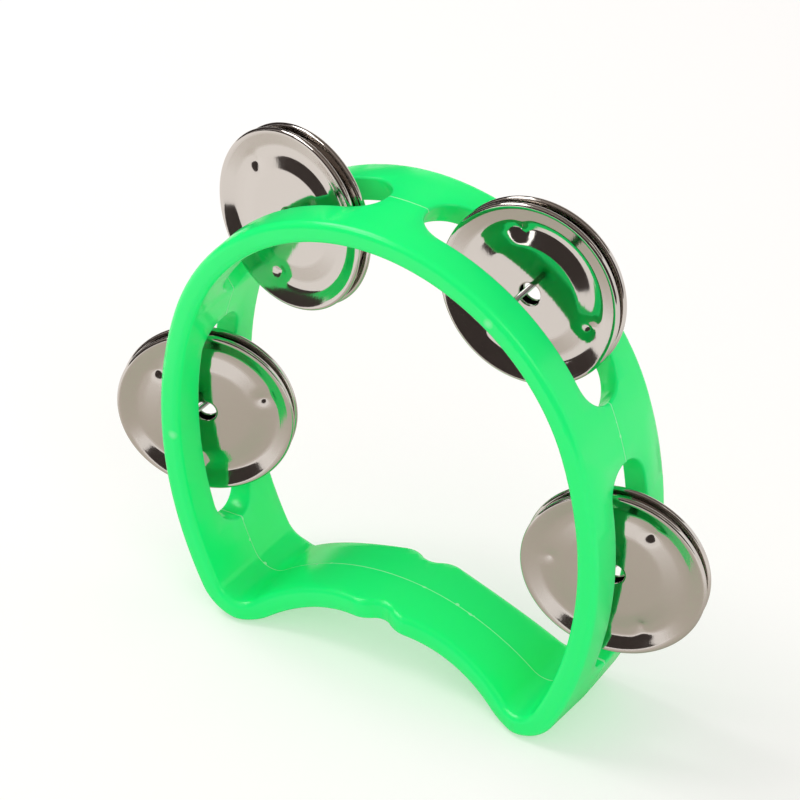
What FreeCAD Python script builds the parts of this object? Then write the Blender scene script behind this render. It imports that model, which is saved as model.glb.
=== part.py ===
import FreeCAD, Part
import math
import os

import Sketcher

Vector = FreeCAD.Vector
Placement = FreeCAD.Placement
Rotation = FreeCAD.Rotation

os.makedirs("parts", exist_ok=True)
doc = FreeCAD.newDocument("half_moon_tambourine")

# Driving dimensions, in millimetres and degrees.
# The frame is one strip bent into a half moon that stands on two rounded feet.
# X runs from foot to foot, Y along the strip's width (front is -Y), Z up from the floor.
# Outline sizes are those at the parting line, halfway along the strip's width.
SIZES = [
    ("crown_radius", 53.1, "outside of the arch over the top"),
    ("flank_radius", 93.3, "outside of each flatter flank"),
    ("flank_bulge", 2.15, "how far each flank stands out beyond the crown's radius"),
    ("foot_radius", 11.2, "outside of each rounded foot"),
    ("grip_arch_radius", 47.5, "underside of the arched grip"),
    ("grip_rise", 12.0, "floor to the underside of the grip at its middle"),
    ("strip_width", 29.0, "width of the strip along Y"),
    ("wall", 4.9, "thickness of the strip at its rims"),
    ("draft", 0.5, "how far the strip's faces stand out at the parting line"),
    ("rim_round", 1.6, "rounding of the strip's four long edges"),
    ("grip_width", 21.2, "width of the grip at its two hollows"),
    ("grip_hollow_radius", 52.0, "long hollow in each side of the grip"),
    ("grip_hollow_place", 16.0, "middle of the grip to the deepest point of a hollow"),
    ("grip_end_radius", 8.0, "rounding where a hollow runs out to full width"),
    ("notch_width", 19.2, "width of the grip between its two middle notches"),
    ("notch_radius", 3.6, "hollow of a middle notch"),
    ("shoulder_radius", 6.0, "rounding between a notch and a hollow"),
    ("slot_length", 52.4, "slot from end to end, straight across"),
    ("slot_width", 12.8, "slot along Y"),
    ("slot_round", 0.6, "rounding of the slots' edges"),
    ("upper_slot_angle", 35.4, "middle of an upper slot, from straight up"),
    ("lower_slot_height", 43.0, "middle of a lower slot above the floor"),
    ("upper_pin_shift", 1.2, "middle of an upper slot to its pin, along the strip towards the top"),
    ("lower_pin_shift", 2.0, "middle of a lower slot to its pin, straight up"),
    ("pin_diameter", 1.2, "steel pin"),
    ("pin_head_diameter", 2.6, "flat head of the pin"),
    ("pin_head_height", 0.6, "thickness of the pin's head"),
    ("pin_tip_cover", 4.0, "plastic left between the pin's tip and the front rim"),
    ("jingle_diameter", 40.0, "over the rolled rim"),
    ("jingle_sheet", 0.45, "thickness of the steel sheet"),
    ("jingle_boss_diameter", 19.0, "flat middle of the jingle, which stands forward"),
    ("jingle_boss_height", 0.5, "how far that middle stands forward"),
    ("jingle_trough_width", 0.7, "level trough between the middle's slope and the dished edge"),
    ("jingle_flat_diameter", 29.8, "where the trough ends and the dished edge begins"),
    ("jingle_bead", 1.3, "thickness of the rolled rim"),
    ("jingle_dish", 1.2, "back of the trough to the middle of the rolled rim"),
    ("jingle_hole_diameter", 4.8, "hole that the pin passes through"),
    ("dimple_ring_radius", 13.8, "middle of the jingle to the middle of a dimple"),
    ("dimple_diameter", 2.4, "each dimple, across its back"),
    ("dimple_height", 0.5, "how far a dimple stands out at the back"),
    ("pair_gap", 0.8, "between the backs of the two jingles of a pair"),
    ("hang_gap", 0.3, "pin to the upper edge of the jingle's hole"),
]

# How each pair hangs: lean is how far its front faces outwards, in degrees about the strip's run,
# and tip is how far it then turns about the way out of the strip. Place is the middle of the pair
# along its pin. A turn is where the first dimple stands, counter-clockwise from the right as seen
# from the front.
PAIRS = [
    ("upper_left", {"lean": 8.7, "tip": -5.4, "place": 0.1, "front_turn": 19.0, "back_turn": 75.0}),
    ("upper_right", {"lean": 6.4, "tip": 1.2, "place": 2.75, "front_turn": -16.0, "back_turn": 40.0}),
    ("lower_left", {"lean": -21.7, "tip": 0.8, "place": -0.1, "front_turn": 20.0, "back_turn": 85.0}),
    ("lower_right", {"lean": 13.3, "tip": 0.0, "place": -2.0, "front_turn": 57.0, "back_turn": 60.0}),
]

sheet = doc.addObject("Spreadsheet::Sheet", "Sizes")
rows = list(SIZES)
for pair_name, values in PAIRS:
    for what, number in values.items():
        rows.append((pair_name + "_" + what, number, pair_name + " pair, " + what))
for row, (alias, number, note) in enumerate(rows, start=1):
    sheet.set("A%d" % row, note)
    sheet.set("B%d" % row, str(number))
    sheet.setAlias("B%d" % row, alias)
doc.recompute()


def size(alias):
    return float(sheet.get(alias))


# Tools for sketches and features

START, END, MIDDLE = range(1, 4)
ORIGIN_POINT = (-1, 1)
UPRIGHT_AXIS = -2


def origin_plane(body, role):
    for feature in body.Origin.OriginFeatures:
        if feature.Role == role:
            return feature
    raise ValueError("no origin plane " + role)


def new_sketch(body, name, role, place=None):
    sketch = body.newObject("Sketcher::SketchObject", name)
    sketch.AttachmentSupport = [(origin_plane(body, role), "")]
    sketch.MapMode = "FlatFace"
    if place is not None:
        sketch.AttachmentOffset = place
    return sketch


def add_circle(sketch, centre, radius):
    circle = Part.Circle(Vector(centre[0], centre[1], 0), Vector(0, 0, 1), radius)
    return sketch.addGeometry(circle, False)


def add_arc(sketch, centre, radius, start, end):
    """Arc drawn counter-clockwise from one angle to another, in degrees."""
    circle = Part.Circle(Vector(centre[0], centre[1], 0), Vector(0, 0, 1), radius)
    arc = Part.ArcOfCircle(circle, math.radians(start), math.radians(end))
    return sketch.addGeometry(arc, False)


def add_line(sketch, first, last):
    segment = Part.LineSegment(Vector(first[0], first[1], 0), Vector(last[0], last[1], 0))
    return sketch.addGeometry(segment, False)


def bound(sketch, name, formula, *constraint):
    """Adds a dimension and ties it to the sheet."""
    index = sketch.addConstraint(Sketcher.Constraint(*constraint))
    sketch.renameConstraint(index, name)
    sketch.setExpression("Constraints." + name, formula)


def join(sketch, kind, pairs):
    for one, one_end, other, other_end in pairs:
        sketch.addConstraint(Sketcher.Constraint(kind, one, one_end, other, other_end))


def angle_of(centre, point):
    return math.degrees(math.atan2(point[1] - centre[1], point[0] - centre[0]))


def mirrored(point):
    return (-point[0], point[1])


def stepped(start, towards, distance):
    """The point that lies a distance from start on the way to another point."""
    share = distance / math.dist(start, towards)
    return (start[0] + (towards[0] - start[0]) * share, start[1] + (towards[1] - start[1]) * share)


def crossing(one, one_radius, other, other_radius):
    """Where two circles cross, on the right of the way from the first centre to the second."""
    apart = math.dist(one, other)
    along = (one_radius ** 2 - other_radius ** 2 + apart ** 2) / (2 * apart)
    across = math.sqrt(one_radius ** 2 - along ** 2)
    step = ((other[0] - one[0]) / apart, (other[1] - one[1]) / apart)
    return (one[0] + along * step[0] + across * step[1], one[1] + along * step[1] - across * step[0])


def finished(feature):
    doc.recompute()
    for state in feature.State:
        if state in ("Invalid", "Error"):
            raise RuntimeError(feature.Name + " is " + state)
    if feature.Shape.isNull() or not feature.Shape.isValid():
        raise RuntimeError(feature.Name + " has no valid shape")
    return feature


def cut_something(feature, before):
    finished(feature)
    if feature.Shape.Volume > before - 0.1:
        raise RuntimeError(feature.Name + " cuts nothing")
    return feature


def mirror_across(body, role, feature):
    """Mirrors one feature, or the whole of the body when no feature is given."""
    copy = body.newObject("PartDesign::Mirrored", feature.Name + "_mirrored" if feature else "both_halves")
    if feature:
        copy.Originals = [feature]
    else:
        copy.TransformMode = "Whole shape"
    copy.MirrorPlane = (origin_plane(body, role), [""])
    body.Tip = copy
    return finished(copy)


def edges_between(shape, is_inside):
    """Names of the edges where a face that passes the test meets one that doesn't.

    Edges that lie in the parting plane are left out.
    """
    inside = [edge for face in shape.Faces if is_inside(face) for edge in face.Edges]
    outside = [edge for face in shape.Faces if not is_inside(face) for edge in face.Edges]
    names = []
    for number, edge in enumerate(shape.Edges, start=1):
        at_parting = abs(edge.BoundBox.YMin) < 0.001 and abs(edge.BoundBox.YMax) < 0.001
        shared = any(edge.isSame(other) for other in inside) and any(edge.isSame(other) for other in outside)
        if shared and not at_parting:
            names.append("Edge%d" % number)
    return names


def rounded(body, name, base, edge_names, radius_alias):
    fillet = body.newObject("PartDesign::Fillet", name)
    fillet.Base = (base, edge_names)
    fillet.setExpression("Radius", "Sizes." + radius_alias)
    return finished(fillet)


# The strip's arcs, seen from the front: each centre is (x, z)

half_strip = size("strip_width") / 2
grip_centre = (0.0, size("grip_rise") - size("grip_arch_radius"))
foot_height = size("foot_radius")
grip_to_foot = size("grip_arch_radius") + size("foot_radius")
foot_centre = (math.sqrt(grip_to_foot ** 2 - (foot_height - grip_centre[1]) ** 2), foot_height)
frame_width = 2 * (size("crown_radius") + size("flank_bulge"))
flank_x = frame_width / 2 - size("flank_radius")
flank_to_foot = size("flank_radius") - size("foot_radius")
flank_z = foot_height + math.sqrt(flank_to_foot ** 2 - (foot_centre[0] - flank_x) ** 2)
flank_centre = (flank_x, flank_z)
flank_to_crown = size("flank_radius") - size("crown_radius")
crown_centre = (0.0, flank_z + math.sqrt(flank_to_crown ** 2 - flank_x ** 2))


def draw_strip_outline(sketch, inset, inset_formula):
    """A closed loop of tangent arcs: crown, flank, foot, grip, foot, flank."""
    less = " - (" + inset_formula + ")"
    more = " + (" + inset_formula + ")"
    crown_from = angle_of(flank_centre, crown_centre)
    flank_from = angle_of(flank_centre, foot_centre)
    foot_from = angle_of(foot_centre, grip_centre)
    grip_from = angle_of(grip_centre, foot_centre)
    crown_radius = size("crown_radius") - inset
    flank_radius = size("flank_radius") - inset
    foot_radius = size("foot_radius") - inset
    grip_radius = size("grip_arch_radius") + inset
    crown = add_arc(sketch, crown_centre, crown_radius, crown_from, 180 - crown_from)
    left_flank = add_arc(sketch, mirrored(flank_centre), flank_radius, 180 - crown_from, 180 - flank_from)
    left_foot = add_arc(sketch, mirrored(foot_centre), foot_radius, 180 - flank_from, 180 - foot_from)
    grip = add_arc(sketch, grip_centre, grip_radius, grip_from, 180 - grip_from)
    right_foot = add_arc(sketch, foot_centre, foot_radius, foot_from, flank_from)
    right_flank = add_arc(sketch, flank_centre, flank_radius, flank_from, crown_from)
    join(sketch, "Tangent", [
        (crown, END, left_flank, START),
        (left_flank, END, left_foot, START),
        (left_foot, END, grip, END),
        (grip, START, right_foot, START),
        (right_foot, END, right_flank, START),
        (right_flank, END, crown, START),
    ])
    bound(sketch, "crown", "Sizes.crown_radius" + less, "Radius", crown, crown_radius)
    bound(sketch, "left_flank", "Sizes.flank_radius" + less, "Radius", left_flank, flank_radius)
    bound(sketch, "right_flank", "Sizes.flank_radius" + less, "Radius", right_flank, flank_radius)
    bound(sketch, "left_foot", "Sizes.foot_radius" + less, "Radius", left_foot, foot_radius)
    bound(sketch, "right_foot", "Sizes.foot_radius" + less, "Radius", right_foot, foot_radius)
    bound(sketch, "grip", "Sizes.grip_arch_radius" + more, "Radius", grip, grip_radius)
    for arc in (crown, grip):
        sketch.addConstraint(Sketcher.Constraint("PointOnObject", arc, MIDDLE, UPRIGHT_AXIS))
    bound(sketch, "left_foot_height", "Sizes.foot_radius",
          "DistanceY", *ORIGIN_POINT, left_foot, MIDDLE, foot_height)
    bound(sketch, "right_foot_height", "Sizes.foot_radius",
          "DistanceY", *ORIGIN_POINT, right_foot, MIDDLE, foot_height)
    bound(sketch, "grip_depth", "Sizes.grip_arch_radius - Sizes.grip_rise",
          "DistanceY", grip, MIDDLE, *ORIGIN_POINT, -grip_centre[1])
    bound(sketch, "flank_offset", "Sizes.flank_radius - Sizes.crown_radius - Sizes.flank_bulge",
          "DistanceX", right_flank, MIDDLE, *ORIGIN_POINT, -flank_x)


# Where the slots and the pins lie, in the middle of the wall: (x, z) and the way out of the strip

middle_inset = size("wall") / 2 + size("draft")
crown_reach = size("crown_radius") - middle_inset
flank_reach = size("flank_radius") - middle_inset


def on_crown(way_out):
    way = math.radians(way_out)
    return (crown_reach * math.sin(way), crown_centre[1] + crown_reach * math.cos(way)), way_out


def on_flank(height):
    way = math.acos((height - flank_z) / flank_reach)
    return (flank_x + flank_reach * math.sin(way), height), math.degrees(way)


def four_places(upper, lower):
    """The same places on the right and, mirrored, on the left."""
    places = {}
    for level, (spot, way_out) in (("upper", upper), ("lower", lower)):
        places[level + "_left"] = (mirrored(spot), -way_out)
        places[level + "_right"] = (spot, way_out)
    return places


SLOTS = four_places(on_crown(size("upper_slot_angle")), on_flank(size("lower_slot_height")))
PINS = four_places(
    on_crown(size("upper_slot_angle") - math.degrees(size("upper_pin_shift") / crown_reach)),
    on_flank(size("lower_slot_height") + size("lower_pin_shift")))


# Frame: one moulding of clear-coloured plastic

frame = doc.addObject("PartDesign::Body", "frame")
frame.Label = "frame"
TAPER = "atan(2 * Sizes.draft / Sizes.strip_width)"

rim_outline = new_sketch(frame, "rim_outline", "XZ_Plane")
rim_outline.setExpression("AttachmentOffset.Base.z", "Sizes.strip_width / 2")
draw_strip_outline(rim_outline, size("draft"), "Sizes.draft")
front_half = frame.newObject("PartDesign::Pad", "front_half")
front_half.Profile = rim_outline
front_half.Reversed = True
front_half.setExpression("Length", "Sizes.strip_width / 2")
front_half.setExpression("TaperAngle", TAPER)
finished(front_half)

hollow_outline = new_sketch(frame, "hollow_outline", "XZ_Plane")
draw_strip_outline(hollow_outline, size("wall") + 2 * size("draft"), "Sizes.wall + 2 * Sizes.draft")
hollow = frame.newObject("PartDesign::Pocket", "hollow")
hollow.Profile = hollow_outline
hollow.Reversed = True
hollow.setExpression("Length", "Sizes.strip_width / 2")
hollow.setExpression("TaperAngle", TAPER)
strip = cut_something(hollow, front_half.Shape.Volume)


def draw_grip_side(sketch):
    """Plan of what is cut from the front of the grip: notch, shoulders, long hollows, run-outs.

    The sketch looks up from below, so that its Y points to the front.
    """
    notch_radius = size("notch_radius")
    shoulder_radius = size("shoulder_radius")
    hollow_radius = size("grip_hollow_radius")
    end_radius = size("grip_end_radius")
    notch_middle = (0.0, size("notch_width") / 2 + notch_radius)
    hollow_middle = (size("grip_hollow_place"), size("grip_width") / 2 + hollow_radius)
    end_level = half_strip - end_radius
    end_run = math.sqrt((hollow_radius + end_radius) ** 2 - (hollow_middle[1] - end_level) ** 2)
    end_middle = (hollow_middle[0] + end_run, end_level)
    shoulder_middle = crossing(notch_middle, notch_radius + shoulder_radius,
                               hollow_middle, hollow_radius + shoulder_radius)
    notch_end = stepped(notch_middle, shoulder_middle, notch_radius)
    hollow_start = stepped(hollow_middle, shoulder_middle, hollow_radius)
    hollow_end = stepped(hollow_middle, end_middle, hollow_radius)
    clear = half_strip + size("rim_round")
    notch_from = angle_of(notch_middle, notch_end)
    notch = add_arc(sketch, notch_middle, notch_radius, 180 - notch_from - 360, notch_from)
    shoulder_from = angle_of(shoulder_middle, hollow_start)
    shoulder_to = angle_of(shoulder_middle, notch_end)
    hollow_from = angle_of(hollow_middle, hollow_start)
    hollow_to = angle_of(hollow_middle, hollow_end)
    end_to = angle_of(end_middle, hollow_end)
    right_shoulder = add_arc(sketch, shoulder_middle, shoulder_radius, shoulder_from, shoulder_to)
    right_hollow = add_arc(sketch, hollow_middle, hollow_radius, hollow_from, hollow_to)
    right_end = add_arc(sketch, end_middle, end_radius, 90, end_to)
    left_shoulder = add_arc(sketch, mirrored(shoulder_middle), shoulder_radius,
                            180 - shoulder_to, 180 - shoulder_from)
    left_hollow = add_arc(sketch, mirrored(hollow_middle), hollow_radius,
                          180 - hollow_to, 180 - hollow_from)
    left_end = add_arc(sketch, mirrored(end_middle), end_radius, 180 - end_to, 90)
    right_side = add_line(sketch, (end_middle[0], half_strip), (end_middle[0], clear))
    top = add_line(sketch, (end_middle[0], clear), (-end_middle[0], clear))
    left_side = add_line(sketch, (-end_middle[0], clear), (-end_middle[0], half_strip))
    join(sketch, "Tangent", [
        (notch, END, right_shoulder, END),
        (right_shoulder, START, right_hollow, START),
        (right_hollow, END, right_end, END),
        (notch, START, left_shoulder, START),
        (left_shoulder, END, left_hollow, END),
        (left_hollow, START, left_end, START),
    ])
    join(sketch, "Coincident", [
        (right_end, START, right_side, START),
        (right_side, END, top, START),
        (top, END, left_side, START),
        (left_side, END, left_end, END),
    ])
    for line in (right_side, left_side):
        sketch.addConstraint(Sketcher.Constraint("Vertical", line))
    sketch.addConstraint(Sketcher.Constraint("Horizontal", top))
    sketch.addConstraint(Sketcher.Constraint("PointOnObject", notch, MIDDLE, UPRIGHT_AXIS))
    bound(sketch, "notch", "Sizes.notch_radius", "Radius", notch, notch_radius)
    bound(sketch, "notch_place", "Sizes.notch_width / 2 + Sizes.notch_radius",
          "DistanceY", *ORIGIN_POINT, notch, MIDDLE, notch_middle[1])
    bound(sketch, "clear_height", "Sizes.strip_width / 2 + Sizes.rim_round",
          "DistanceY", *ORIGIN_POINT, top, START, clear)
    for side, shoulder, hollow_arc, end_arc, outwards in (
            ("right", right_shoulder, right_hollow, right_end, True),
            ("left", left_shoulder, left_hollow, left_end, False)):
        bound(sketch, side + "_shoulder", "Sizes.shoulder_radius", "Radius", shoulder, shoulder_radius)
        bound(sketch, side + "_hollow", "Sizes.grip_hollow_radius", "Radius", hollow_arc, hollow_radius)
        bound(sketch, side + "_end", "Sizes.grip_end_radius", "Radius", end_arc, end_radius)
        bound(sketch, side + "_hollow_depth", "Sizes.grip_width / 2 + Sizes.grip_hollow_radius",
              "DistanceY", *ORIGIN_POINT, hollow_arc, MIDDLE, hollow_middle[1])
        across = (*ORIGIN_POINT, hollow_arc, MIDDLE) if outwards else (hollow_arc, MIDDLE, *ORIGIN_POINT)
        bound(sketch, side + "_hollow_place", "Sizes.grip_hollow_place",
              "DistanceX", *across, hollow_middle[0])
        bound(sketch, side + "_end_level", "Sizes.strip_width / 2 - Sizes.grip_end_radius",
              "DistanceY", *ORIGIN_POINT, end_arc, MIDDLE, end_level)
        corner = START if outwards else END
        sketch.addConstraint(Sketcher.Constraint("Vertical", end_arc, corner, end_arc, MIDDLE))


from_below = Placement(Vector(), Rotation(Vector(1, 0, 0), 180))
grip_side = new_sketch(frame, "grip_side", "XY_Plane", from_below)
draw_grip_side(grip_side)
waist = frame.newObject("PartDesign::Pocket", "waist")
waist.Profile = grip_side
waist.setExpression("Length", "Sizes.grip_rise + 2 * Sizes.wall + 2 * Sizes.draft")
waisted = cut_something(waist, strip.Shape.Volume)


def is_strip_side(face):
    """The strip's flat rim and the upright faces of the grip's hollows and notches."""
    surface = face.Surface
    if face.BoundBox.YMax > -0.001:
        return False
    if surface.TypeId == "Part::GeomPlane":
        return abs(surface.Axis.y) > 0.999
    return surface.TypeId == "Part::GeomCylinder" and abs(surface.Axis.z) > 0.999


softened = rounded(frame, "rim_rounding", waisted, edges_between(waisted.Shape, is_strip_side), "rim_round")


def draw_slot(sketch):
    """Slot with round ends: the sketch's X runs along the strip, its Y along the width."""
    radius = size("slot_width") / 2
    reach = size("slot_length") / 2 - radius
    right = add_arc(sketch, (reach, 0), radius, -90, 90)
    left = add_arc(sketch, (-reach, 0), radius, 90, 270)
    back = add_line(sketch, (reach, radius), (-reach, radius))
    front = add_line(sketch, (-reach, -radius), (reach, -radius))
    join(sketch, "Tangent", [
        (right, END, back, START),
        (back, END, left, START),
        (left, END, front, START),
        (front, END, right, START),
    ])
    sketch.addConstraint(Sketcher.Constraint("Symmetric", left, MIDDLE, right, MIDDLE, *ORIGIN_POINT))
    sketch.addConstraint(Sketcher.Constraint("Horizontal", back))
    bound(sketch, "end_radius", "Sizes.slot_width / 2", "Radius", right, radius)
    bound(sketch, "between_ends", "Sizes.slot_length - Sizes.slot_width",
          "DistanceX", left, MIDDLE, right, MIDDLE, 2 * reach)


def is_slot_wall(face, slot_middle):
    """A wall of the slot with the given middle."""
    surface = face.Surface
    if face.CenterOfMass.distanceToPoint(slot_middle) > size("slot_length") / 2:
        return False
    half_slot = size("slot_width") / 2
    if surface.TypeId == "Part::GeomPlane":
        return abs(surface.Axis.y) > 0.999 and abs(abs(surface.Position.y) - half_slot) < 0.01
    return surface.TypeId == "Part::GeomCylinder" and abs(surface.Radius - half_slot) < 0.01


carrier = softened
for pair_name, ((slot_x, slot_z), way_out) in SLOTS.items():
    lift = size("wall") + 2 * size("draft")
    over = (slot_x + lift * math.sin(math.radians(way_out)), slot_z + lift * math.cos(math.radians(way_out)))
    across_wall = Placement(Vector(over[0], 0, over[1]), Rotation(Vector(0, 1, 0), way_out))
    slot_outline = new_sketch(frame, pair_name + "_slot_outline", "XY_Plane", across_wall)
    draw_slot(slot_outline)
    slot = frame.newObject("PartDesign::Pocket", pair_name + "_slot")
    slot.Profile = slot_outline
    slot.setExpression("Length", "3 * (Sizes.wall + 2 * Sizes.draft)")
    cut_something(slot, carrier.Shape.Volume)
    mouths = edges_between(slot.Shape, lambda face: is_slot_wall(face, Vector(slot_x, 0, slot_z)))
    carrier = rounded(frame, pair_name + "_slot_rounding", slot, mouths, "slot_round")
slotted = mirror_across(frame, "XZ_Plane", None)


def draw_pin_circles(sketch, diameter_alias):
    for pair_name, ((pin_x, pin_z), way_out) in PINS.items():
        circle = add_circle(sketch, (pin_x, pin_z), size(diameter_alias) / 2)
        bound(sketch, pair_name, "Sizes." + diameter_alias, "Diameter", circle, size(diameter_alias))


holed = slotted
for hole_name, diameter_alias, depth in (
        ("pin_holes", "pin_diameter", "Sizes.strip_width - Sizes.pin_tip_cover"),
        ("pin_head_seats", "pin_head_diameter", "Sizes.pin_head_height")):
    circles = new_sketch(frame, hole_name + "_outline", "XZ_Plane")
    circles.setExpression("AttachmentOffset.Base.z", "-Sizes.strip_width / 2")
    draw_pin_circles(circles, diameter_alias)
    holes = frame.newObject("PartDesign::Pocket", hole_name)
    holes.Profile = circles
    holes.Reversed = True
    holes.setExpression("Length", depth)
    holed = cut_something(holes, holed.Shape.Volume)


# Pins: steel wire with a flat head, driven in from the back

def make_pin(pair_name):
    pin = doc.addObject("PartDesign::Body", "pin_" + pair_name)
    pin.Label = "pin_" + pair_name
    for name, alias, length in (
            ("shank", "pin_diameter", "Sizes.strip_width - Sizes.pin_tip_cover"),
            ("head", "pin_head_diameter", "Sizes.pin_head_height")):
        outline = new_sketch(pin, name + "_outline", "XZ_Plane")
        outline.setExpression("AttachmentOffset.Base.z", "-Sizes.strip_width / 2")
        circle = add_circle(outline, (0, 0), size(alias) / 2)
        outline.addConstraint(Sketcher.Constraint("Coincident", circle, MIDDLE, *ORIGIN_POINT))
        bound(outline, "across", "Sizes." + alias, "Diameter", circle, size(alias))
        stem = pin.newObject("PartDesign::Pad", name)
        stem.Profile = outline
        stem.setExpression("Length", length)
        finished(stem)
    (pin_x, pin_z), way_out = PINS[pair_name]
    pin.Placement = Placement(Vector(pin_x, 0, pin_z), Rotation())
    return pin


# Jingles: steel discs, dished and rolled at the rim, with three dimples and a loose hole

sheet_steel = size("jingle_sheet")
bead_radius = size("jingle_bead") / 2
rim_middle = size("jingle_diameter") / 2 - bead_radius
boss_radius = size("jingle_boss_diameter") / 2
flat_radius = size("jingle_flat_diameter") / 2
trough_radius = flat_radius - size("jingle_trough_width")
hole_radius = size("jingle_hole_diameter") / 2


def spun(body, kind, sketch, name):
    """Turns a sketch all the way round its own upright axis, to add or to cut."""
    feature = body.newObject("PartDesign::" + kind, name)
    feature.Profile = sketch
    feature.ReferenceAxis = (sketch, ["V_Axis"])
    feature.Angle = 360
    return feature


def draw_cap(sketch, inset_formula, inset, base):
    """Half of a spherical cap over a level base: a dimple's back, or its hollow when inset."""
    half = size("dimple_diameter") / 2
    height = size("dimple_height")
    outside = (half ** 2 + height ** 2) / (2 * height)
    radius = outside - inset
    centre_depth = outside - height
    corner = (math.sqrt(radius ** 2 - (centre_depth - base) ** 2), -base)
    middle = (0.0, -centre_depth)
    axis = add_line(sketch, (0, -base), (0, radius - centre_depth))
    dome = add_arc(sketch, middle, radius, angle_of(middle, corner), 90)
    bottom = add_line(sketch, (0, -base), corner)
    join(sketch, "Coincident", [
        (axis, END, dome, END),
        (dome, START, bottom, END),
        (bottom, START, axis, START),
    ])
    sketch.addConstraint(Sketcher.Constraint("Horizontal", bottom))
    for end in (START, END):
        sketch.addConstraint(Sketcher.Constraint("PointOnObject", axis, end, UPRIGHT_AXIS))
    sketch.addConstraint(Sketcher.Constraint("PointOnObject", dome, MIDDLE, UPRIGHT_AXIS))
    outside_formula = "((Sizes.dimple_diameter / 2)^2 + Sizes.dimple_height^2) / (2 * Sizes.dimple_height)"
    bound(sketch, "sphere", outside_formula + inset_formula, "Radius", dome, radius)
    bound(sketch, "sphere_depth", outside_formula + " - Sizes.dimple_height",
          "DistanceY", dome, MIDDLE, *ORIGIN_POINT, centre_depth)


def make_jingle(node):
    """Axis along Y through the origin, back of the trough at y = 0, hollow side towards -Y."""
    jingle = doc.addObject("PartDesign::Body", node)
    jingle.Label = node
    section = new_sketch(jingle, "section", "XY_Plane")
    forward = size("jingle_boss_height")
    lip_level = size("jingle_dish")
    corners = [
        (hole_radius, -forward),
        (boss_radius, -forward),
        (trough_radius, 0.0),
        (flat_radius, 0.0),
        (rim_middle, sheet_steel / 2 - lip_level),
        (rim_middle, -sheet_steel / 2 - lip_level),
        (flat_radius, -sheet_steel),
        (trough_radius, -sheet_steel),
        (boss_radius, -forward - sheet_steel),
        (hole_radius, -forward - sheet_steel),
    ]
    lines = [add_line(section, *ends) for ends in zip(corners, corners[1:] + corners[:1])]
    join(section, "Coincident", [(one, END, other, START) for one, other in zip(lines, lines[1:] + lines[:1])])
    boss, slope, trough, flank, lip, front_flank, front_trough, front_slope, front_boss, hole_side = lines
    for level in (boss, trough, front_trough, front_boss):
        section.addConstraint(Sketcher.Constraint("Horizontal", level))
    for upright in (lip, hole_side):
        section.addConstraint(Sketcher.Constraint("Vertical", upright))
    for one, other in ((slope, front_slope), (flank, front_flank)):
        section.addConstraint(Sketcher.Constraint("Parallel", one, other))
    section.addConstraint(Sketcher.Constraint("Vertical", trough, START, front_trough, END))
    section.addConstraint(Sketcher.Constraint("PointOnObject", trough, START, -1))
    for name, line, alias, reach in (
            ("hole", boss, "jingle_hole_diameter", hole_radius),
            ("boss", slope, "jingle_boss_diameter", boss_radius),
            ("flat", flank, "jingle_flat_diameter", flat_radius)):
        bound(section, name, "Sizes." + alias + " / 2", "DistanceX", *ORIGIN_POINT, line, START, reach)
    bound(section, "trough", "Sizes.jingle_trough_width",
          "DistanceX", trough, START, trough, END, size("jingle_trough_width"))
    bound(section, "reach", "(Sizes.jingle_diameter - Sizes.jingle_bead) / 2",
          "DistanceX", *ORIGIN_POINT, lip, START, rim_middle)
    bound(section, "sheet_at_lip", "Sizes.jingle_sheet", "DistanceY", lip, END, lip, START, sheet_steel)
    bound(section, "sheet_at_hole", "Sizes.jingle_sheet",
          "DistanceY", hole_side, START, hole_side, END, sheet_steel)
    bound(section, "sheet_at_trough", "Sizes.jingle_sheet",
          "DistanceY", front_trough, END, trough, START, sheet_steel)
    bound(section, "forward", "Sizes.jingle_boss_height",
          "DistanceY", boss, START, *ORIGIN_POINT, forward)
    bound(section, "dish", "Sizes.jingle_dish - Sizes.jingle_sheet / 2",
          "DistanceY", lip, START, *ORIGIN_POINT, lip_level - sheet_steel / 2)
    finished(spun(jingle, "Revolution", section, "dish"))
    roll = new_sketch(jingle, "roll", "XY_Plane")
    ring = add_circle(roll, (rim_middle, -size("jingle_dish")), size("jingle_bead") / 2)
    bound(roll, "thickness", "Sizes.jingle_bead", "Diameter", ring, size("jingle_bead"))
    bound(roll, "reach", "(Sizes.jingle_diameter - Sizes.jingle_bead) / 2",
          "DistanceX", *ORIGIN_POINT, ring, MIDDLE, rim_middle)
    bound(roll, "depth", "Sizes.jingle_dish",
          "DistanceY", ring, MIDDLE, *ORIGIN_POINT, size("jingle_dish"))
    finished(spun(jingle, "Revolution", roll, "bead"))
    bump_outline = new_sketch(jingle, "bump_outline", "XY_Plane")
    bump_outline.setExpression("AttachmentOffset.Base.x", "Sizes.dimple_ring_radius")
    draw_cap(bump_outline, "", 0.0, sheet_steel / 2)
    bound(bump_outline, "base", "Sizes.jingle_sheet / 2",
          "DistanceY", 0, START, *ORIGIN_POINT, sheet_steel / 2)
    bump = finished(spun(jingle, "Revolution", bump_outline, "bump"))
    pit_outline = new_sketch(jingle, "pit_outline", "XY_Plane")
    pit_outline.setExpression("AttachmentOffset.Base.x", "Sizes.dimple_ring_radius")
    draw_cap(pit_outline, " - Sizes.jingle_sheet", sheet_steel, size("jingle_dish"))
    bound(pit_outline, "base", "Sizes.jingle_dish",
          "DistanceY", 0, START, *ORIGIN_POINT, size("jingle_dish"))
    pit = cut_something(spun(jingle, "Groove", pit_outline, "pit"), bump.Shape.Volume)
    dimples = jingle.newObject("PartDesign::PolarPattern", "dimples")
    dimples.Originals = [bump, pit]
    dimples.Axis = (section, ["V_Axis"])
    dimples.Angle = 360
    dimples.Occurrences = 3
    jingle.Tip = dimples
    finished(dimples)
    return jingle


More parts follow.
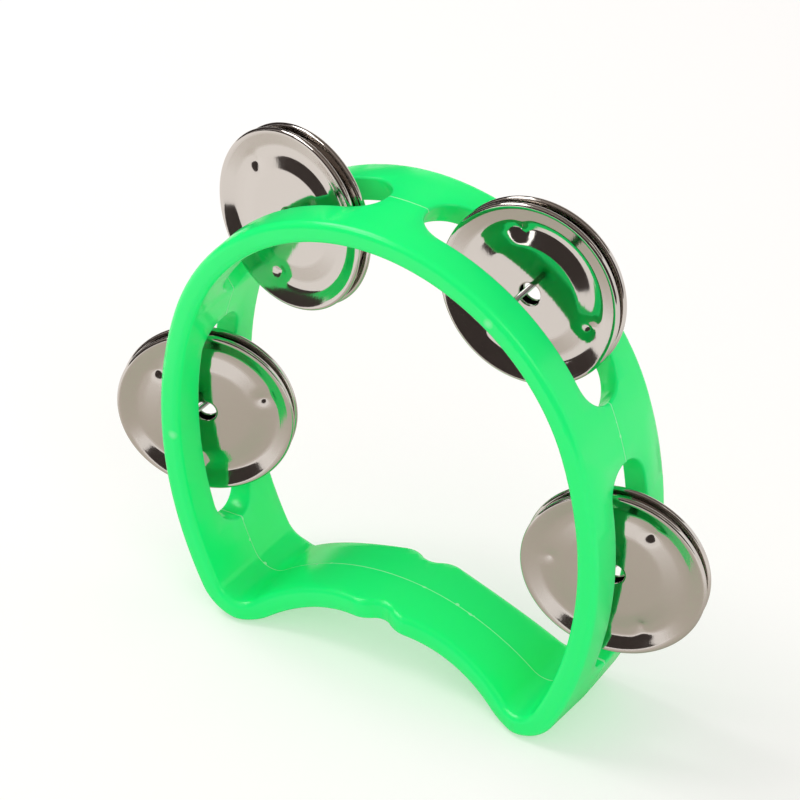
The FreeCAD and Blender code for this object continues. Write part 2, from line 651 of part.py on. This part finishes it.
def hang(pair_name, side):
    """Puts a jingle on its pin: the pair leans about the strip's run and tips, backs together."""
    (pin_x, pin_z), way_out = PINS[pair_name]
    jingle = make_jingle("jingle_" + pair_name + "_" + side)
    on_pin = Placement(Vector(pin_x, size(pair_name + "_place"), pin_z), Rotation())
    run = Vector(math.cos(math.radians(way_out)), 0, -math.sin(math.radians(way_out)))
    out = Vector(math.sin(math.radians(way_out)), 0, math.cos(math.radians(way_out)))
    leaning = Placement(Vector(), Rotation(run, -size(pair_name + "_lean")))
    tipping = Placement(Vector(), Rotation(out, size(pair_name + "_tip")))
    drop = hole_radius - size("pin_diameter") / 2 - size("hang_gap")
    half_gap = size("pair_gap") / 2
    if side == "front":
        apart = Placement(Vector(0, -half_gap, -drop), Rotation())
    else:
        apart = Placement(Vector(0, half_gap, -drop), Rotation(Vector(0, 0, 1), 180))
    turned = Placement(Vector(), Rotation(Vector(0, -1, 0), size(pair_name + "_" + side + "_turn")))
    jingle.Placement = on_pin * leaning * tipping * apart * turned
    return jingle


# Every piece, checked and written out

pieces = [frame]
for pair_name in PINS:
    pieces.append(make_pin(pair_name))
    pieces.append(hang(pair_name, "front"))
    pieces.append(hang(pair_name, "back"))
doc.recompute()
for item in doc.Objects:
    if "Invalid" in item.State or "Error" in item.State:
        raise RuntimeError(item.Name + " did not compute")
for piece in pieces:
    if piece.Shape.isNull() or not piece.Shape.isValid() or len(piece.Shape.Solids) != 1:
        raise RuntimeError(piece.Label + " is not one valid solid")
    piece.Shape.exportStep("parts/" + piece.Label + ".step")
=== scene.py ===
import math

import bpy
from mathutils import Matrix, Vector


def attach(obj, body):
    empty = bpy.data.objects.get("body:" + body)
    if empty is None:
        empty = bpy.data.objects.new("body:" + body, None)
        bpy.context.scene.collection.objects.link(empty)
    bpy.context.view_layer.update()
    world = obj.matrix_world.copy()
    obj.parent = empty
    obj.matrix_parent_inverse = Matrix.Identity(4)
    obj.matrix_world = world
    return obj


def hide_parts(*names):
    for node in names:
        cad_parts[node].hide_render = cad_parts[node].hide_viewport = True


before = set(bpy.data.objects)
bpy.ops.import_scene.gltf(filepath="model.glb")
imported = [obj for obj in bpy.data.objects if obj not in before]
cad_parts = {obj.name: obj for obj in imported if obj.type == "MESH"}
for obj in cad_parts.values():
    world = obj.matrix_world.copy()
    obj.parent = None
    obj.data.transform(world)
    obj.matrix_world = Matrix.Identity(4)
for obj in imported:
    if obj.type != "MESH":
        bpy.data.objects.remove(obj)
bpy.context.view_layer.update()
bpy.ops.object.select_all(action="DESELECT")


# Frame
# One moulding of glossy bright green plastic, a strip bent into a half moon with a waisted
# grip, two feet and four long slots. It stays on the two feet, its widest edge is the parting line.

def new_material(name):
    material = bpy.data.materials.new(name)
    material.use_nodes = True
    nodes = material.node_tree.nodes
    return material, nodes, material.node_tree.links, nodes["Principled BSDF"]


def give_material(piece, material):
    piece.data.materials.clear()
    piece.data.materials.append(material)


def copy_of_node(node, name):
    """A copy of a CAD node with its loose triangles joined, ready for smooth shading."""
    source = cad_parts[node]
    piece = source.copy()
    piece.data = source.data.copy()
    piece.name = name
    bpy.context.collection.objects.link(piece)
    matrix = source.matrix_world.copy()
    piece.parent = None
    piece.matrix_world = matrix
    bpy.ops.object.select_all(action="DESELECT")
    piece.select_set(True)
    bpy.context.view_layer.objects.active = piece
    bpy.ops.object.transform_apply(location=True, rotation=True, scale=True)
    bpy.ops.object.mode_set(mode="EDIT")
    bpy.ops.mesh.select_all(action="SELECT")
    bpy.ops.mesh.remove_doubles(threshold=0.000004)
    bpy.ops.mesh.normals_make_consistent(inside=False)
    bpy.ops.object.mode_set(mode="OBJECT")
    return piece


moulding = copy_of_node("frame", "frame_moulding")
bpy.ops.object.shade_smooth_by_angle(angle=math.radians(32), keep_sharp_edges=False)

green_plastic, nodes, links, green = new_material("green_plastic")
green.inputs["Roughness"].default_value = 0.22
green.inputs["IOR"].default_value = 1.46
green.inputs["Subsurface Weight"].default_value = 0.3
green.inputs["Subsurface Radius"].default_value = (0.003, 0.014, 0.006)
green.inputs["Subsurface Scale"].default_value = 0.5
place = nodes.new("ShaderNodeTexCoord")
ripple = nodes.new("ShaderNodeTexNoise")
ripple.inputs["Scale"].default_value = 60
ripple.inputs["Detail"].default_value = 2
swell = nodes.new("ShaderNodeBump")
swell.inputs["Strength"].default_value = 0.04
swell.inputs["Distance"].default_value = 0.001
links.new(place.outputs["Object"], ripple.inputs["Vector"])
links.new(ripple.outputs["Fac"], swell.inputs["Height"])


def worked_out(operation, first, second=None):
    """A math node: the first input is an output of another node, the second one too or a number."""
    node = nodes.new("ShaderNodeMath")
    node.operation = operation
    links.new(first, node.inputs[0])
    if isinstance(second, (int, float)):
        node.inputs[1].default_value = second
    elif second is not None:
        links.new(second, node.inputs[1])
    return node.outputs["Value"]


# A hair-fine pale flash line along the parting plane, here and there a little wider
spread = nodes.new("ShaderNodeSeparateXYZ")
links.new(place.outputs["Object"], spread.inputs["Vector"])
crumbs = nodes.new("ShaderNodeTexNoise")
crumbs.inputs["Scale"].default_value = 330
links.new(place.outputs["Object"], crumbs.inputs["Vector"])
seam_half_width = 0.00014
crumb_growth = 0.004
seam_sharpness = 9000
crumb = worked_out("MAXIMUM", worked_out("SUBTRACT", crumbs.outputs["Fac"], 0.6), 0)
line_width = worked_out("ADD", worked_out("MULTIPLY", crumb, crumb_growth), seam_half_width)
off_line = worked_out("ABSOLUTE", spread.outputs["Y"])
flash = worked_out("MAXIMUM", worked_out("SUBTRACT", line_width, off_line), 0)
seam = worked_out("MINIMUM", worked_out("MULTIPLY", flash, seam_sharpness), 1)
raised = nodes.new("ShaderNodeBump")
raised.inputs["Strength"].default_value = 0.6
raised.inputs["Distance"].default_value = 0.0001
links.new(seam, raised.inputs["Height"])
links.new(swell.outputs["Normal"], raised.inputs["Normal"])
links.new(raised.outputs["Normal"], green.inputs["Normal"])

# Faint whitened spots in the front rim, where the tips of two pins press from inside
distances = []
for tip in ((0.0281, -0.0145, 0.1021), (-0.0512, -0.0145, 0.0450)):
    from_tip = nodes.new("ShaderNodeVectorMath")
    from_tip.operation = "DISTANCE"
    from_tip.inputs[1].default_value = tip
    links.new(place.outputs["Object"], from_tip.inputs[0])
    distances.append(from_tip.outputs["Value"])
whitened = nodes.new("ShaderNodeMapRange")
whitened.inputs["From Min"].default_value = 0.0013
whitened.inputs["From Max"].default_value = 0.0003
whitened.inputs["To Max"].default_value = 0.3
links.new(worked_out("MINIMUM", *distances), whitened.inputs["Value"])
paler = worked_out("MAXIMUM", worked_out("MULTIPLY", seam, 0.5), whitened.outputs["Result"])
tint = nodes.new("ShaderNodeMixRGB")
tint.inputs["Color1"].default_value = (0.008, 0.93, 0.20, 1)
tint.inputs["Color2"].default_value = (0.62, 0.95, 0.70, 1)
links.new(paler, tint.inputs["Fac"])
links.new(tint.outputs["Color"], green.inputs["Base Color"])
give_material(moulding, green_plastic)
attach(moulding, "root")
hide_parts("frame")


# Pins
# Four steel wires, each driven through the strip from the back and across its slot.
# Their heads lie flush in the back rim, their tips end inside the front rim.

pin_steel, nodes, links, steel = new_material("pin_steel")
steel.inputs["Base Color"].default_value = (0.56, 0.54, 0.53, 1)
steel.inputs["Metallic"].default_value = 1
steel.inputs["Roughness"].default_value = 0.25
place = nodes.new("ShaderNodeTexCoord")
drawn = nodes.new("ShaderNodeMapping")
drawn.inputs["Scale"].default_value = (4000, 150, 4000)
grain = nodes.new("ShaderNodeTexNoise")
grain.inputs["Scale"].default_value = 1
scratches = nodes.new("ShaderNodeBump")
scratches.inputs["Strength"].default_value = 0.15
scratches.inputs["Distance"].default_value = 0.0001
links.new(place.outputs["Object"], drawn.inputs["Vector"])
links.new(drawn.outputs["Vector"], grain.inputs["Vector"])
links.new(grain.outputs["Fac"], scratches.inputs["Height"])
links.new(scratches.outputs["Normal"], steel.inputs["Normal"])

for pair in ("upper_left", "upper_right", "lower_left", "lower_right"):
    wire = copy_of_node("pin_" + pair, "wire_" + pair)
    bpy.ops.object.shade_smooth_by_angle(angle=math.radians(40), keep_sharp_edges=False)
    give_material(wire, pin_steel)
    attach(wire, "root")
    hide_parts("pin_" + pair)


# Jingles
# Eight discs pressed from nickel-plated steel sheet: a middle that stands a little forward, a
# slope to a shallow trough, a dished edge, a rolled rim, three dimples and a loose hole. Two hang
# on each pin, backs together.

MM = 0.001
sheet = 0.45 * MM
dish = 1.2 * MM
rim_middle = 19.35 * MM
roll_radius = 0.65 * MM
boss = 0.62 * MM
boss_inner = 9.9 * MM
boss_outer = 14.5 * MM
easing = 0.2
flank_start = 15.2 * MM
flank_full = 16.4 * MM
dimple_ring = 13.8 * MM
dimple_size = 3.4 * MM
dimple_height = 0.5 * MM
dimple_top = 0.3 * MM
hole_radius = 2.4 * MM
hole_edge = 0.1 * MM
section_step = 0.35 * MM
roll_steps = 20
roll_start = 150
roll_sweep = 245


def back_of_sheet(radius):
    """Where the sheet's back face lies: the middle, eased slope, trough and dished edge."""
    if radius < boss_inner:
        return -boss
    if radius < boss_outer:
        share = (radius - boss_inner) / (boss_outer - boss_inner)
        bend = 2 * easing * (1 - easing)
        if share < easing:
            return -boss * (1 - share ** 2 / bend)
        if share < 1 - easing:
            return -boss * (1 - (share - easing / 2) / (1 - easing))
        return -boss * (1 - share) ** 2 / bend
    if radius < flank_start:
        return 0.0
    bend = flank_full - flank_start
    rise = min(radius - flank_start, bend) ** 2 / (2 * bend) + max(radius - flank_full, 0)
    return (sheet - dish - roll_radius) * rise / (bend / 2 + rim_middle - flank_full)


# The section goes round the sheet: out along the back, over the rolled rim, in along the front
steps_out = [hole_radius + hole_edge] + [number * section_step for number in range(8, 54)]
section = [(hole_radius, -sheet / 2 - boss), (hole_radius, -hole_edge - boss)]
section += [(radius, back_of_sheet(radius)) for radius in steps_out]
for step in range(roll_steps + 1):
    turn = math.radians(roll_start - roll_sweep * step / roll_steps)
    section.append((rim_middle + roll_radius * math.cos(turn),
                    -dish + roll_radius * math.sin(turn)))
section += [(radius, back_of_sheet(radius) - sheet) for radius in reversed(steps_out)]
section += [(hole_radius, hole_edge - sheet - boss)]

bpy.ops.mesh.primitive_plane_add(size=0.001, location=(0, 0, 0))
disc = bpy.context.object
disc.name = "disc"
bpy.ops.object.mode_set(mode="EDIT")
bpy.ops.mesh.select_all(action="SELECT")
bpy.ops.mesh.merge(type="CENTER")
bpy.ops.transform.translate(value=(section[0][0], section[0][1], 0))
for before, after in zip(section, section[1:] + section[:1]):
    step = (after[0] - before[0], after[1] - before[1], 0)
    bpy.ops.mesh.extrude_region_move(TRANSFORM_OT_translate={"value": step})
bpy.ops.mesh.select_all(action="SELECT")
bpy.ops.mesh.remove_doubles(threshold=0.000002)
bpy.ops.mesh.select_all(action="SELECT")
bpy.ops.mesh.spin(steps=192, angle=math.tau, center=(0, 0, 0), axis=(0, 1, 0))
bpy.ops.mesh.select_all(action="SELECT")
bpy.ops.mesh.remove_doubles(threshold=0.000002)
bpy.ops.mesh.normals_make_consistent(inside=False)

# Each dimple is pressed from the front, so both faces of the sheet move together
for turn in (0, 120, 240):
    spot = Vector((math.cos(math.radians(turn)), 0, math.sin(math.radians(turn)))) * dimple_ring
    bpy.ops.mesh.select_all(action="DESELECT")
    bpy.ops.object.mode_set(mode="OBJECT")
    for vertex in disc.data.vertices:
        flat = Vector((vertex.co.x, 0, vertex.co.z))
        vertex.select = (flat - spot).length < dimple_top
    bpy.ops.object.mode_set(mode="EDIT")
    bpy.ops.transform.translate(value=(0, dimple_height, 0), use_proportional_edit=True,
                                proportional_edit_falloff="SHARP", proportional_size=dimple_size)
bpy.ops.object.mode_set(mode="OBJECT")
bpy.ops.object.shade_smooth_by_angle(angle=math.radians(50), keep_sharp_edges=False)

# Nickel: mirror-bright, with fine rolling streaks in the sheet
jingle_steel, nodes, links, nickel = new_material("jingle_steel")
nickel.inputs["Base Color"].default_value = (0.62, 0.575, 0.535, 1)
nickel.inputs["Metallic"].default_value = 1
nickel.inputs["Roughness"].default_value = 0.12
place = nodes.new("ShaderNodeTexCoord")
along = nodes.new("ShaderNodeMapping")
along.inputs["Scale"].default_value = (2600, 2600, 60)
streaks = nodes.new("ShaderNodeTexNoise")
streaks.inputs["Scale"].default_value = 1
streaks.inputs["Detail"].default_value = 4
dullness = nodes.new("ShaderNodeMapRange")
dullness.inputs["To Min"].default_value = 0.03
dullness.inputs["To Max"].default_value = 0.12
scoring = nodes.new("ShaderNodeBump")
scoring.inputs["Strength"].default_value = 0.2
scoring.inputs["Distance"].default_value = 0.00003
links.new(place.outputs["Object"], along.inputs["Vector"])
links.new(along.outputs["Vector"], streaks.inputs["Vector"])
links.new(streaks.outputs["Fac"], dullness.inputs["Value"])
links.new(dullness.outputs["Result"], nickel.inputs["Roughness"])
links.new(streaks.outputs["Fac"], scoring.inputs["Height"])
links.new(scoring.outputs["Normal"], nickel.inputs["Normal"])

# How each pair hangs: where its pin runs, which way is out of the strip, how far the pair leans
# outwards and tips, its middle along the pin, and where the first dimple of each disc stands
HANGING = {
    "upper_left": ((-28.065, 102.083), -34.029, 8.7, -5.4, 0.1, 19.0, 75.0),
    "upper_right": ((28.065, 102.083), 34.029, 6.4, 1.2, 2.75, -16.0, 40.0),
    "lower_left": ((-52.264, 45.0), -91.618, -21.7, 0.8, -0.1, 20.0, 85.0),
    "lower_right": ((52.264, 45.0), 91.618, 13.3, 0.0, -2.0, 57.0, 60.0),
}
half_gap = 0.4 * MM
drop = 1.5 * MM

for pair, (pin, way_out, lean, tip, middle, front_turn, back_turn) in HANGING.items():
    way = math.radians(way_out)
    on_pin = Matrix.Translation((pin[0] * MM, middle * MM, pin[1] * MM))
    along_strip = Vector((math.cos(way), 0, -math.sin(way)))
    out_of_strip = Vector((math.sin(way), 0, math.cos(way)))
    leaning = Matrix.Rotation(math.radians(-lean), 4, along_strip)
    tipping = Matrix.Rotation(math.radians(tip), 4, out_of_strip)
    for side, offset, about, turn in (("front", -half_gap, 0, front_turn),
                                      ("back", half_gap, 180, back_turn)):
        node = "jingle_" + pair + "_" + side
        piece = disc.copy()
        piece.data = disc.data.copy()
        piece.name = "disc_" + pair + "_" + side
        bpy.context.collection.objects.link(piece)
        apart = Matrix.Translation((0, offset, -drop)) @ Matrix.Rotation(math.radians(about), 4, "Z")
        turned = Matrix.Rotation(math.radians(turn), 4, Vector((0, -1, 0)))
        piece.matrix_world = on_pin @ leaning @ tipping @ apart @ turned
        bpy.ops.object.select_all(action="DESELECT")
        piece.select_set(True)
        bpy.context.view_layer.objects.active = piece
        bpy.ops.object.transform_apply(location=True, rotation=True, scale=True)
        give_material(piece, jingle_steel)
        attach(piece, node)
        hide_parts(node)
bpy.data.objects.remove(disc)


# Floor, light and camera
# A white table that glows a little, under soft daylight from the upper left. The backdrop is white
# to the camera, and the room that the steel reflects is dark behind the camera.

bpy.ops.mesh.primitive_plane_add(size=12, location=(0, 0, 0))
table = bpy.context.object
table.name = "table_top"
white, nodes, links, paint = new_material("white_table")
paint.inputs["Base Color"].default_value = (0.62, 0.61, 0.60, 1)
paint.inputs["Roughness"].default_value = 0.9
paint.inputs["Emission Color"].default_value = (1.0, 0.985, 0.97, 1)
paint.inputs["Emission Strength"].default_value = 0.36
give_material(table, white)

world = bpy.data.worlds.new("studio")
bpy.context.scene.world = world
world.use_nodes = True
nodes = world.node_tree.nodes
links = world.node_tree.links
sky = nodes["Background"]
sky.inputs["Color"].default_value = (1.0, 0.985, 0.975, 1)
sky.inputs["Strength"].default_value = 0.74
backdrop = nodes.new("ShaderNodeBackground")
backdrop.inputs["Color"].default_value = (1, 1, 1, 1)
backdrop.inputs["Strength"].default_value = 1.0
rays = nodes.new("ShaderNodeLightPath")
seen = rays.outputs["Is Camera Ray"]
for kind in ("Is Glossy Ray", "Is Transmission Ray"):
    either = nodes.new("ShaderNodeMath")
    either.operation = "MAXIMUM"
    links.new(seen, either.inputs[0])
    links.new(rays.outputs[kind], either.inputs[1])
    seen = either.outputs["Value"]
choose = nodes.new("ShaderNodeMixShader")
links.new(seen, choose.inputs["Fac"])
links.new(sky.outputs["Background"], choose.inputs[1])
links.new(backdrop.outputs["Background"], choose.inputs[2])
links.new(choose.outputs["Shader"], nodes["World Output"].inputs["Surface"])


# What only the steel and the gloss of the plastic see: the dark side of the room, a brown wall
# above it, a wall on the left, a ceiling, a window, a bright patch for the highlight of the upper
# right disc, and the table's shade close to the tambourine
def only_reflected(name, place, turn, size):
    turns = [math.radians(angle) for angle in turn]
    bpy.ops.mesh.primitive_plane_add(size=1, location=place, rotation=turns)
    card = bpy.context.object
    card.name = name
    card.scale = (size[0], size[1], 1)
    bpy.ops.object.transform_apply(location=False, rotation=True, scale=True)
    card.visible_camera = False
    card.visible_diffuse = False
    card.visible_shadow = False
    card.visible_transmission = False
    return card


for name, shade, glow, place, turn, size in (
        ("dark_wall", (0.06, 0.050, 0.048, 1), 0, (0, -0.32, 0.16), (90, 0, 0), (1.6, 0.32)),
        ("brown_wall", (0.30, 0.26, 0.24, 1), 0, (0, -0.32, 0.66), (90, 0, 0), (1.6, 0.68)),
        ("wall_left", (0.05, 0.042, 0.040, 1), 0, (-0.8, 0.5, 0.5), (90, 0, 90), (1.56, 1.0)),
        ("ceiling", (0.20, 0.175, 0.16, 1), 0, (0, 0.85, 1.0), (0, 0, 0), (3.0, 2.3)),
        ("window_glass", (0.5, 0.5, 0.5, 1), 5, (-0.30, -0.315, 0.50), (90, 0, 0), (0.22, 0.20)),
        ("bright_patch", (0.5, 0.5, 0.5, 1), 1.5, (-0.043, -0.15, 0.090), (90, 0, 0),
         (0.034, 0.030))):
    card = only_reflected(name, place, turn, size)
    room, nodes, links, wall_paint = new_material("room_" + name)
    wall_paint.inputs["Base Color"].default_value = shade
    wall_paint.inputs["Roughness"].default_value = 1
    wall_paint.inputs["Specular IOR Level"].default_value = 0
    wall_paint.inputs["Emission Color"].default_value = (1, 1, 1, 1)
    wall_paint.inputs["Emission Strength"].default_value = glow
    give_material(card, room)

card = only_reflected("shaded_table", (0, 0, 0.0004), (0, 0, 0), (0.5, 0.5))
shaded, nodes, links, shade_paint = new_material("shaded_table")
shade_paint.inputs["Base Color"].default_value = (0.60, 0.55, 0.50, 1)
shade_paint.inputs["Roughness"].default_value = 1
shade_paint.inputs["Specular IOR Level"].default_value = 0
place = nodes.new("ShaderNodeTexCoord")
from_middle = nodes.new("ShaderNodeVectorMath")
from_middle.operation = "LENGTH"
fade = nodes.new("ShaderNodeMapRange")
fade.interpolation_type = "SMOOTHSTEP"
fade.inputs["From Min"].default_value = 0.07
fade.inputs["From Max"].default_value = 0.19
fade.inputs["To Min"].default_value = 1
fade.inputs["To Max"].default_value = 0
links.new(place.outputs["Object"], from_middle.inputs[0])
links.new(from_middle.outputs["Value"], fade.inputs["Value"])
links.new(fade.outputs["Result"], shade_paint.inputs["Alpha"])
give_material(card, shaded)


def soft_light(name, location, size, power):
    bpy.ops.object.light_add(type="AREA", location=location)
    lamp = bpy.context.object
    lamp.name = name
    lamp.data.shape = "SQUARE"
    lamp.data.size = size
    lamp.data.energy = power
    aim = Vector((0, 0, 0.05)) - Vector(location)
    lamp.rotation_euler = aim.to_track_quat("-Z", "Y").to_euler()


soft_light("window", (-0.6, -0.1, 0.9), 0.5, 4.2)
soft_light("fill", (0.7, -0.5, 0.7), 0.5, 1.5)

bpy.ops.object.camera_add(location=(0.3215, -0.4993, 0.4720))
camera = bpy.context.object
camera.rotation_euler = (math.radians(55.581), math.radians(-0.127), math.radians(33.016))
camera.data.lens = 154.656
camera.data.sensor_width = 36
camera.data.clip_start = 0.01
bpy.context.scene.camera = camera
bpy.context.scene.view_settings.view_transform = "Standard"
